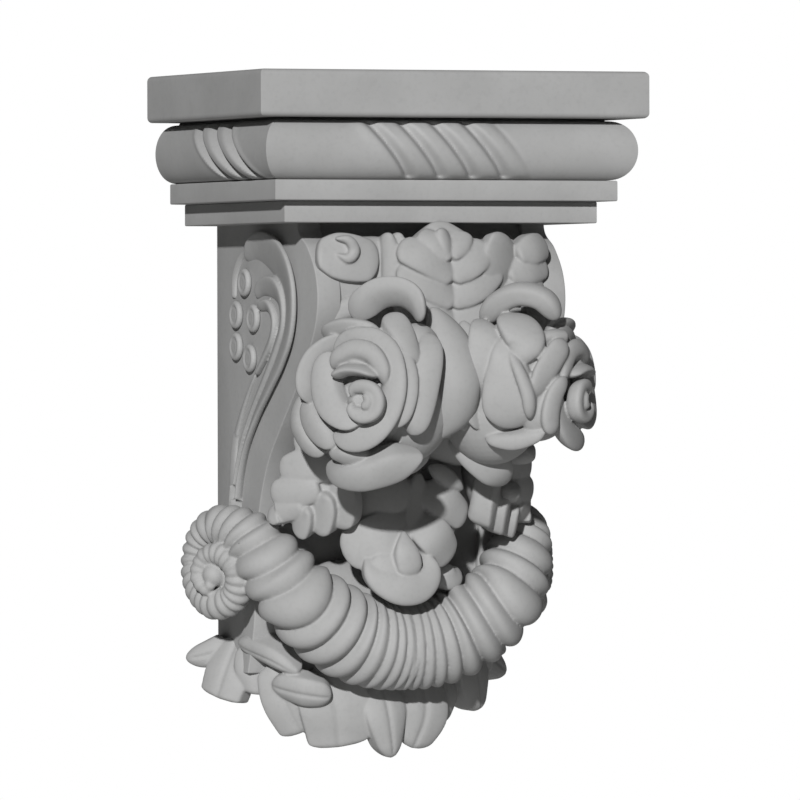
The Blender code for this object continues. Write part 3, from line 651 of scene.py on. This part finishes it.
# %% Rose petals
# name: (line, half widths, thickness, how far it faces the front, lift of the outer rim, back)
petals = {
    "bud": ([(-3, -6, 2), (-1, -2, 3), (4, -1, 3.5), (9, -3, 3), (11, -8, 2), (9, -13, 1), (3, -15, 1),
             (-2, -12, 2), (-2, -8, 3.5)], [1.8, 3, 3.4, 3.6, 3.8, 3.8, 3.8, 3.2, 2], 4.0, 2.2, 0.6, 6),
    "bud core": ([(4, -5, 4), (7, -7, 4), (6, -10, 3.5), (3, -10, 3.5)], [1.8, 2.4, 2.6, 2.0],
                 3.4, 3, 0.0, 6),
    "inner lip": ([(-15, 5, -1), (-8, 8, 1), (0, 8, 1), (9, 5, -1)], [3, 3.8, 3.8, 3],
                  3.6, 1.4, -2.0, 6),
    "arch": ([(-16, 9, -3), (-11, 15, 0), (-3, 18, 1), (5, 16, 0), (10, 9, -2), (11, 1, -5)],
             [2.2, 3.8, 4.4, 4.4, 4, 2.4], 4.2, 1.5, 0.8, 7),
    "ring left": ([(-18, 18, -5), (-21, 11, -5), (-21, 3, -5), (-18, -6, -4), (-13, -12, -3),
                   (-6, -16, -3), (1, -17, -4)], [2, 4.4, 6, 6.6, 6.2, 5, 2.4], 4.2, 1.1, 2.2, 8),
    "ring right": ([(-18, 17, -7), (-11, 23, -5), (-3, 24, -4), (5, 23, -4), (12, 17, -5),
                    (15, 8, -6), (15, -2, -7), (12, -12, -8), (6, -20, -8), (-1, -24, -8),
                    (-9, -25, -8), (-17, -22, -9)],
                   [2, 2.8, 3.2, 4, 4.8, 5.4, 6, 6.2, 6.4, 6.2, 5.4, 3], 4.4, 1.0, 2.0, 9),
    "left rim": ([(-30, -6, -15), (-34, 1, -12), (-34, 8, -11), (-30, 16, -10), (-24, 21, -10),
                  (-14, 26, -10)], [3, 5, 5.6, 5.4, 4.6, 2.6], 4.6, 0.8, -1.8, 8),
    "top lip": ([(-27, 27, -13), (-16, 31, -10), (-7, 31, -9), (5, 28, -10)], [2.6, 5, 5, 3],
                4.6, 0.9, -1.8, 9),
    "back petal": ([(-33, 29, -28), (-31, 38, -27), (-25, 44, -27), (-15, 48, -28)], [3, 6, 6, 3],
                   4, 0.6, 0.8, 9),
}
left_only = {
    "low left": ([(-34, -3, -16), (-31, -14, -14), (-24, -22, -13), (-16, -26, -14)],
                 [3, 5.4, 5.4, 2.6], 3.8, 0.8, 1.8, 8),
    "far left": ([(-41, 0, -24), (-42, -13, -22), (-39, -20, -21), (-34, -26, -21), (-26, -30, -22)],
                 [2.6, 4, 4.4, 4.2, 2.6], 3.6, 0.5, 1.4, 8),
    "bottom small": ([(-22, -29, -18), (-11, -32, -16), (-1, -30, -18)], [2, 5, 2], 3.6, 0.5, 0.5, 8),
    "bottom lip": ([(-27, -33, -29), (-19, -40, -24), (-8, -42, -21), (2, -40, -21), (12, -36, -23),
                    (24, -30, -28)], [2, 4.6, 6.4, 7.2, 7.2, 3], 4.4, 0.7, 1.8, 14),
    "right band": ([(5, 28, -9), (13, 19, -10), (18, 9, -11), (19, -1, -12), (17, -11, -13),
                    (12, -18, -15)], [2.6, 4.6, 5.4, 5.4, 4.6, 2.4], 4.4, 0.7, 1.8, 9),
    "tall right": ([(23, 30, -23), (27, 18, -20), (26, 2, -19), (23, -12, -20), (19, -21, -22)],
                   [5, 6, 6.2, 5.6, 3.4], 4.6, 0.5, 1.8, 9),
    "crown": ([(-13, 36, -17), (-6, 44, -15), (3, 49, -15), (13, 49, -16), (20, 44, -17),
               (24, 35, -16)], [3, 5, 6, 6.4, 6.4, 4.6], 5.2, 0.2, -3.2, 6),
    "tongue": ([(6, 38, -17), (12, 32, -13), (18, 23, -12), (22, 12, -15)], [5, 7, 5.8, 2.6],
               3.8, 0.7, 0.6, 9),
}
right_only = {
    "flank rim": ([(24, 39, -37), (30, 29, -33), (33, 16, -36), (32, 6, -42), (29, -4, -46),
                   (26, -15, -45)], [7, 7.6, 6.8, 5.6, 4.4, 2.6], 5.0, 0.3, 2.4, 9),
    "flank face": ([(24, 40, -46), (28, 26, -44), (29, 12, -47), (27, -1, -51), (25, -14, -54)],
                   [4, 8, 9, 8, 4], 4, 0.1, 0.0, 8),
    "flank": ([(26, 28, -25), (30, 16, -23), (31, 4, -24), (30, -6, -25), (26, -17, -28)],
              [4, 8.6, 12.4, 13.6, 10], 5.0, 0.2, 1.6, 9),
    "flank ridge": ([(28, 22, -23), (32, 10, -17), (32, -3, -14), (29, -14, -16)],
                    [1.6, 3, 3.4, 2.6], 4.6, 0.3, 0.4, 8),
    "flank lip": ([(24, -19, -43), (24, -23, -28), (22, -21, -12)], [2.4, 4, 2.6], 4, 0.4, 0.8, 8),
    "shoulder": ([(19, 38, -26), (24, 33, -18), (27, 24, -13), (28, 13, -15)], [6, 10, 9.6, 4],
                 4.4, 0.4, 1.2, 8),
    "curl": ([(19, 38, -38), (21, 46, -28), (21, 49, -15), (17, 44, -4), (13, 33, 0)],
             [3, 4.6, 5.8, 6, 4.4], 5.0, 0.2, 0.0, 8),
    "flank band": ([(13, 22, 2), (19, 14, -3), (24, 5, -9), (27, -5, -14)], [4.4, 5.4, 5.4, 3],
                   4.6, 0.8, 2.0, 9),
    "flank leaf": ([(14, 4, 0), (20, -4, -5), (23, -14, -8), (20, -23, -9)], [3, 4.6, 5, 4],
                   4.4, 0.6, 1.4, 9),
    "knob": ([(19, 24, -12), (14, 25, -4), (7, 24, 1)], [3, 3.6, 3.4], 3.6, 0.6, 0.0, 9),
}


# (centre, radii) of the cores that close the ground between the petals
rose_cores = [((-2, -4, -24), (18, 18, 20)), ((-1, -7, -3), (6, 6, 5)), ((-1, 11, -4), (8, 4, 4)),
              ((2, 0, -46), (26, 30, 32)), ((16, 22, -30), (12, 14, 14))]
left_cores = [((-2, -32, -34), (16, 16, 10))]
right_cores = [((20, -8, -16), (8.5, 8.5, 14)), ((18, 13, -17), (8, 8, 9))]
petal_back = 0.85
petal_lift = 1.4
# Petals turn outwards with their distance from the eye, which lies a little below the axis.
eye_drop = 5
spread_reach = 25
petal_middle = in_rose(0, -3, -10)


def add_petals(parts, table):
    for spine, half, thick, front, lift, back in table.values():
        places = [in_rose(*point) for point in spine]
        looks = []
        for right, up, out in spine:
            outward = np.array([right, up + eye_drop, 0.0]) / spread_reach
            looks.append(unit(outward + np.array([0, 0, front])) @ rose_basis)
        blade(parts, places, looks, half, thick, ends=(0.2, 0.2), back=petal_back * back,
              lift=petal_lift * lift, away=petal_middle, sides=40, rings=60)


def rose(own_petals, own_cores):
    """The petals and cores that both roses have, then the ones of its own."""
    parts = []
    for table, cores in ((petals, rose_cores), (own_petals, own_cores)):
        add_petals(parts, table)
        for centre, radii in cores:
            lump(parts, in_rose(*centre), radii)
    return parts


dress(cast("rose_left", rose(left_only, left_cores)))
dress(cast("rose_right", [mirror_image(mesh) for mesh in rose(right_only, right_cores)]))

# %% [markdown]
# ### Petals between the roses
# A tall petal stands in the middle, and a few lie below. Rounded lumps behind them
# tie the roses to the bracket, so that no petal hangs in the air.

# %% Middle petals


def rose_ground(parts):
    lump(parts, (-22, 106, 156), (32, 30, 32))
    lump(parts, (-26, 98, 178), (26, 28, 18))


def middle_petals():
    parts = both_sides(rose_ground)
    blade(parts, [(-4, 128, 189), (-14, 134, 193), (-24, 134, 199)], (0, 0.8, 0.5), [3, 6, 3], 4.5,
          back=9)
    blade(parts, [(6, 132, 183), (17, 138, 189), (28, 138, 197), (38, 130, 204)], (-0.1, 0.9, 0.3),
          [5, 9, 9.5, 6], 4.5, back=10)
    blade(parts, [(48, 84, 186), (51, 106, 189), (52, 126, 190)], (0, 0, -1), [7, 7.5, 7], 6.5, back=6)
    blade(parts, [(48, 70, 204), (50, 90, 208), (50, 112, 210)], (0, 0, -1), [7, 7, 6.5], 6, back=6)
    lump(parts, (0, 120, 126), (34, 22, 26))
    lump(parts, (2, 138, 150), (18, 20, 32))
    blade(parts, [(-12, 154, 117), (-6, 166, 135), (-3, 171, 154), (-5, 166, 170), (-11, 154, 183)],
          (0.1, 1, 0), [8, 11, 11.5, 10.5, 4], 5.5, ends=(0.3, 0.3), bend=2.5, back=12)
    return cast("middle_petals", parts)


dress(middle_petals())

# %% [markdown]
# ## Leaves
# Each leaf is a fan of plump lobes on both sides of a midrib. One sheet with
# grooves pressed into it would be the other way. Here the lobes are separate
# pillows that touch, so the veins between them come out as the narrow grooves of
# the casting, and the edge is scalloped of itself.

# %% Leaf lobes


def lobes(parts, runs, facing, thick, tip, back=9, ends=(0.1, 0.16)):
    """A pillow for each run; its rim away from the leaf's tip stands proud of the next."""
    for run, wide in runs:
        half = [wide * 0.55, wide * 0.95, wide, wide * 0.8]
        blade(parts, run, facing, half, thick, ends=ends, bend=1.0, back=back, away=tip,
              lift=1.6, square=0.36, sides=32, rings=40)


# (line, half width) of each lobe
top_leaf = [
    ([(3, 149, 126), (-13, 150, 117), (-27, 145, 109)], 9),
    ([(3, 149, 115), (-12, 150, 105), (-26, 145, 97)], 9),
    ([(2, 149, 103), (-13, 150, 93), (-26, 145, 87)], 8.4),
    ([(1, 149, 93), (-7, 148, 86), (-15, 144, 81)], 6),
    ([(-2, 149, 127), (14, 149, 119), (28, 144, 110)], 9),
    ([(-1, 149, 115), (14, 149, 106), (27, 144, 96)], 8.6),
    ([(0, 149, 103), (12, 149, 94), (21, 144, 85)], 8),
    ([(0, 149, 93), (6, 147, 86), (10, 143, 80)], 5.4),
    ([(-1, 149, 93), (-2, 148, 86), (-3, 145, 78)], 4),
]
right_top_leaf = [
    ([(27, 144, 110), (27, 146, 96), (33, 142, 81)], 10.4),
    ([(29, 144, 109), (41, 144, 107), (54, 138, 105)], 6),
    ([(33, 144, 101), (45, 143, 98), (57, 136, 96)], 7.4),
    ([(38, 144, 91), (48, 142, 88), (57, 135, 86)], 7.4),
]
left_top_leaf = [([(-66, 137, 90), (-52, 139, 92), (-34, 140, 95)], 12)]
left_stalks = [
    ([(-30, 139, 80), (-28, 141, 93), (-29, 141, 106)], 4.4),
    ([(-25, 139, 80), (-22, 141, 93), (-23, 141, 106)], 4.4),
]


def top_leaves():
    parts = []
    lobes(parts, top_leaf, (0, 1, -0.1), 2.8, (-3, 144, 60))
    lobes(parts, right_top_leaf, (0.25, 1, 0), 2.6, (52, 140, 74))
    lobes(parts, left_top_leaf, (-0.2, 1, -0.1), 2.4, (-50, 140, 60))
    lobes(parts, left_stalks, (-0.1, 1, 0), 3, (-60, 140, 90))
    blade(parts, [(-58, 141, 83), (-51, 142, 84), (-48, 142, 89), (-51, 142, 93), (-57, 141, 91)],
          (-0.2, 1, 0), [1.4, 2.4, 2.8, 2.6, 1.4], 3.0, back=5)
    blade(parts, [(-40, 131, 82), (-38, 131, 98), (-36, 131, 120)], (0, 1, 0), [18, 26, 26], 7, back=14)
    blade(parts, [(36, 131, 82), (34, 131, 98), (32, 131, 120)], (0, 1, 0), [14, 24, 26], 7, back=14)
    blade(parts, [(-2, 140, 74), (-1, 142, 96), (0, 142, 130)], (0, 1, 0), [10, 24, 30], 5, back=14)
    return cast("top_leaves", parts)


dress(top_leaves())

low_leaf = [
    ([(-43, 109, 186), (-53, 102, 184), (-61, 94, 187)], 9.4),
    ([(-45, 107, 198), (-57, 100, 196), (-67, 89, 200)], 9),
    ([(-51, 103, 209), (-61, 95, 208), (-70, 84, 211)], 8),
    ([(-57, 97, 218), (-65, 88, 218), (-70, 80, 222)], 5.6),
    ([(-43, 108, 198), (-41, 106, 214), (-40, 101, 227)], 8.6),
    ([(-49, 105, 209), (-49, 101, 219), (-49, 95, 230)], 7.4),
    ([(-56, 98, 216), (-57, 93, 224), (-57, 88, 231)], 6),
]


def low_leaves(parts):
    lobes(parts, low_leaf, (-0.7, 0.7, -0.1), 2.4, (-76, 70, 226), back=12, ends=(0.12, 0.18))
    blade(parts, [(-44, 98, 184), (-52, 92, 203), (-62, 82, 222)], (-0.7, 0.7, 0), [12, 16, 10], 5,
          back=20)


cast_pair(low_leaves, "low_leaf")

drooping = [
    ([(3, 96, 207), (-18, 100, 211), (-35, 93, 215)], 10),
    ([(0, 98, 222), (-19, 104, 231), (-36, 95, 240)], 12),
    ([(-5, 102, 238), (-17, 107, 247), (-25, 102, 255)], 8.5),
    ([(3, 96, 207), (15, 102, 213), (30, 95, 223)], 9),
    ([(-1, 98, 222), (9, 106, 231), (20, 99, 243)], 10),
]


def drooping_leaf():
    parts = []
    blade(parts, [(-56, 50, 262), (-22, 60, 262), (22, 60, 262), (56, 50, 262)], (0, 0.85, -0.5),
          [14, 20, 20, 14], 12, back=22, square=0.8)
    lobes(parts, drooping, (0, 1, 0), 3, (-9, 84, 190), back=12, ends=(0.12, 0.14))
    blade(parts, [(-25, 100, 240), (-22, 105, 250), (-12, 109, 257), (-1, 109, 256), (5, 107, 248),
                  (3, 103, 238)], (0, 1, 0.2), [5, 7, 7.6, 7.6, 6, 3.4], 5, back=12, lift=1.6,
          away=(-6, 106, 242))
    blade(parts, [(4, 98, 199), (1, 100, 216), (-4, 103, 233)], (0, 1, 0), [4, 5, 4], 2.2, back=12)
    lump(parts, (-8, 98, 245), (13, 9, 12))
    blade(parts, [(-8, 106, 228), (-8, 111, 239), (-5, 110, 251)], (0, 1, 0), [2.4, 6.4, 6.4], 3.4,
          ends=(0.6, 0.24), back=12)
    blade(parts, [(15, 90, 248), (24, 88, 252), (31, 82, 249)], (0, 1, 0), [6, 6.4, 4], 4, back=12)
    blade(parts, [(8, 100, 196), (16, 103, 201), (27, 99, 208)], (0, 1, 0), [2.6, 4.4, 2], 3.4, back=8)
    blade(parts, [(1, 84, 196), (0, 88, 212), (-4, 94, 232), (-8, 96, 250)], (0, 1, 0),
          [26, 30, 25, 14], 5, back=22)
    return cast("drooping_leaf", parts)


dress(drooping_leaf())

# %% [markdown]
# ## The double horn
# A ribbed horn swings across the front like a garland. It is thickest in the
# middle, and both ends coil into a spiral, like a ram's horn. One round section
# follows the path, and it is pinched at each ring. The rings are narrow in the
# middle, broad along the arms and fine again in the coils. A row of separate rings
# would do too, but one skin keeps the grooves between them closed.

# %% Horn
horn_path = [(2, 83, 286), (-13, 84, 285), (-27, 84, 281), (-41, 85, 273), (-54, 85, 263),
             (-62, 79, 252), (-68, 73, 242), (-73, 65, 233), (-77, 55, 228), (-81, 40, 226),
             (-84, 28, 233), (-86, 25, 246), (-87, 33, 258), (-85, 48, 265), (-80, 61, 260),
             (-81, 66, 248), (-86, 58, 240), (-91, 49, 241), (-94, 45, 250), (-92, 49, 257),
             (-90, 54, 254)]
horn_radius = [22.5, 22.8, 23, 22.5, 21, 19.5, 17.5, 15, 12.5, 10.5, 9.8, 9.3, 8.8, 8.2, 7.6, 7, 6.2,
               5.2, 4.4, 3.6, 2.6]
# (how far along the horn in mm, how many rings have passed)
rings_passed = [(-17.5, -3), (0, 0.5), (17.5, 4), (27, 5.2), (39, 6.3), (99, 11.2), (137, 17),
                (200, 29), (232, 37), (330, 62)]
over_the_middle = 2.0
# The rings lean along the arms: fully from the first length on, and hardly past the second.
ring_tilt = 0.34
tilt_from, tilt_until, tilt_fade = 60, 150, 40
# The grooves are shallow in the middle and deepen over a short run.
groove_share, groove_more, groove_run = 0.12, 0.13, 14
ring_roundness = 0.62
coil_cores = [((-80, 48, 248), (7, 14, 14)), ((-88, 52, 250), (6, 6, 6))]


def horn(parts):
    mesh, spots, turn, pole, along = ball(64, 420)
    middle = follow(horn_path, along)
    run = heading(horn_path, along)
    look = looks_along((0, 1, 0), along, run)
    out = np.cross(run, look)
    fine = np.linspace(0, 1, 2001)
    steps = np.linalg.norm(np.diff(follow(horn_path, fine), axis=0), axis=1)
    length = np.interp(along, fine, np.concatenate([[0], np.cumsum(steps)]))
    length = length - over_the_middle
    size = follow(horn_radius, along)[:, 0]
    arm = np.clip(length / tilt_from, 0, 1) * np.clip((tilt_until - length) / tilt_fade, 0.1, 1)
    front = np.where(pole, 0, np.sin(turn))
    passed = np.interp(length + ring_tilt * arm * size * front, *zip(*rings_passed))
    deep = groove_share + groove_more * np.clip((length - groove_run) / groove_run, 0, 1)
    size = size * (1 - deep + deep * np.abs(np.sin(math.pi * passed)) ** ring_roundness)
    size = np.where(pole, 0, size)[:, None]
    put(mesh, middle + out * size * np.cos(turn)[:, None] + look * size * np.sin(turn)[:, None])
    parts.append(mesh)
    for centre, radii in coil_cores:
        lump(parts, centre, radii)


dress(cast("horn", both_sides(horn)))

# %% [markdown]
# ## The skirt
# Below the horn hangs a ragged fringe of folded leaves. Each is a blade with a
# crease down the middle. They could be one leaf set out in a row, but on the
# casting no two are alike, so each has its own line.

# %% Skirt
# (line, the way it faces, half widths, thickness, how blunt its tip is)
skirt_leaves = [
    ([(-66, 16, 288), (-76, 12, 291), (-86, 6, 293)], (-0.6, 0.8, 0.1), [9, 7, 4], 3.4, 0.3),
    ([(-62, 22, 282), (-70, 24, 298), (-74, 21, 313)], (-0.9, 0.6, 0.1), [11, 13, 12], 3.2, 0.08),
    ([(-60, 36, 284), (-60, 38, 297), (-58, 36, 311)], (-0.7, 0.9, 0.2), [10, 12, 7], 3.2, 0.12),
    ([(-68, 34, 284), (-60, 56, 291), (-49, 68, 299)], (-0.5, 0.8, 0.6), [4.6, 5.6, 3], 3.6, 0.3),
    ([(-54, 50, 294), (-52, 55, 312), (-42, 53, 330)], (-0.6, 0.9, -0.1), [11, 12, 10], 3.2, 0.1),
    ([(-34, 60, 296), (-29, 66, 316), (-25, 62, 337)], (-0.3, 1, -0.2), [16, 18, 15], 3.2, 0.08),
    ([(-58, 54, 305), (-47, 68, 309), (-33, 72, 311)], (-0.3, 0.9, 0.5), [6, 8, 6], 3.2, 0.2),
    ([(-5, 62, 302), (-3, 70, 320), (1, 67, 342.6)], (0.1, 1, -0.1), [11, 11.5, 5], 3.6, 0.16),
    ([(-13, 58, 304), (-12, 63, 319), (-11, 60, 333)], (-0.5, 1, -0.1), [8, 9, 5], 3.2, 0.2),
    ([(18, 60, 302), (19, 66, 320), (14, 62, 338)], (0.1, 1, -0.1), [12, 14, 8], 3.4, 0.14),
    ([(30, 54, 300), (32, 58, 313), (32, 54, 326)], (0.4, 1, -0.1), [10, 11, 6], 3.4, 0.14),
    ([(50, 46, 286), (54, 48, 304), (57, 44, 320)], (0.6, 0.9, -0.1), [13, 13, 7], 3.4, 0.14),
    ([(62, 38, 284), (68, 36, 295), (77, 32, 302)], (0.8, 0.7, 0.1), [9, 9, 4], 3.4, 0.2),
    ([(62, 40, 280), (69, 38, 287), (76, 34, 291)], (0.8, 0.7, 0.3), [7, 6, 3], 3.4, 0.3),
    ([(62, 20, 280), (72, 18, 288), (82, 12, 291)], (0.8, 0.6, 0.1), [9, 8, 4], 3.4, 0.3),
]


def skirt():
    parts = []
    for spine, facing, half, thick, tip in skirt_leaves:
        blade(parts, spine, facing, half, thick, ends=(0.2, tip), crease=1.0, back=10, square=0.26,
              bend=2)
    lump(parts, (-2, 34, 298), (50, 30, 26))
    lump(parts, (0, 36, 284), (60, 34, 26))
    return cast("skirt", parts)


dress(skirt())

# %% [markdown]
# ## The view
# The camera stands a little to the left of the front, level with the middle of
# the piece and far away, so the cap's lines hardly converge. Its place could be
# found by trial, but here it was worked out once from the corners of the cap.

# %% Camera
view_azimuth = math.radians(-21.868)
view_elevation = math.radians(0.098)
view_roll = math.radians(-0.1596)
view_distance = 5.611
view_lens = 497.8
view_target = Vector((0.02853, -0.01145, high.z - 0.16319))


def aim():
    camera = bpy.data.objects.new("camera", bpy.data.cameras.new("camera"))
    bpy.context.scene.collection.objects.link(camera)
    camera.data.sensor_width = 36
    camera.data.lens = view_lens
    camera.data.clip_end = 50
    away = Vector((math.sin(view_azimuth) * math.cos(view_elevation),
                   -math.cos(view_azimuth) * math.cos(view_elevation), math.sin(view_elevation)))
    camera.location = view_target + away * view_distance
    turned = away.to_track_quat("Z", "Y").to_matrix() @ Matrix.Rotation(view_roll, 3, "Z")
    camera.rotation_euler = turned.to_euler()
    bpy.context.scene.camera = camera


aim()

# %% [markdown]
# ## Light and floor
# One lamp from the left front, a little above, models the carving with dark,
# fairly sharp shadows. A dim even sky fills them. The white behind the object is
# seen by the camera alone, so it doesn't wash the shadows out. Area lamps would
# need a distance and a size each, and a sun lights every view alike.

# %% Light


def sun(name, azimuth, elevation, power, spread):
    lamp = bpy.data.lights.new(name, "SUN")
    lamp.energy = power
    lamp.angle = math.radians(spread)
    thing = bpy.data.objects.new(name, lamp)
    bpy.context.scene.collection.objects.link(thing)
    turn, rise = math.radians(azimuth), math.radians(elevation)
    source = Vector((math.sin(turn) * math.cos(rise), -math.cos(turn) * math.cos(rise), math.sin(rise)))
    thing.rotation_euler = source.to_track_quat("Z", "Y").to_euler()


sun("key", azimuth=-30, elevation=18, power=3.15, spread=2)

bpy.context.scene.view_settings.view_transform = "Standard"
world = bpy.data.worlds.new("studio")
bpy.context.scene.world = world
world.use_nodes = True
tree = world.node_tree
glow = tree.nodes["Background"]
glow.inputs["Color"].default_value = (1, 1, 1, 1)
glow.inputs["Strength"].default_value = 0.05
backdrop = tree.nodes.new("ShaderNodeBackground")
backdrop.inputs["Color"].default_value = (1, 1, 1, 1)
ray = tree.nodes.new("ShaderNodeLightPath")
choose = tree.nodes.new("ShaderNodeMixShader")
tree.links.new(ray.outputs["Is Camera Ray"], choose.inputs["Fac"])
tree.links.new(glow.outputs["Background"], choose.inputs[1])
tree.links.new(backdrop.outputs["Background"], choose.inputs[2])
tree.links.new(choose.outputs["Shader"], tree.nodes["World Output"].inputs["Surface"])

# %% [markdown]
# ### A floor
# The photo shows no ground. A pale disc well below the piece gives the views from
# above something to stand over, and it isn't part of the model.

# %% Floor
floor_reach = 1.5
floor_drop = 0.13


def lay_floor():
    mesh = bmesh.new()
    bmesh.ops.create_circle(mesh, cap_ends=True, segments=96, radius=floor_reach)
    bmesh.ops.translate(mesh, verts=mesh.verts, vec=(0, 0, low.z - floor_drop))
    floor = new_object(mesh, "floor")
    paint = bpy.data.materials.new("pale_floor")
    paint.use_nodes = True
    shader = paint.node_tree.nodes["Principled BSDF"]
    shader.inputs["Base Color"].default_value = (0.75, 0.75, 0.74, 1)
    shader.inputs["Roughness"].default_value = 0.8
    floor.data.materials.append(paint)


lay_floor()
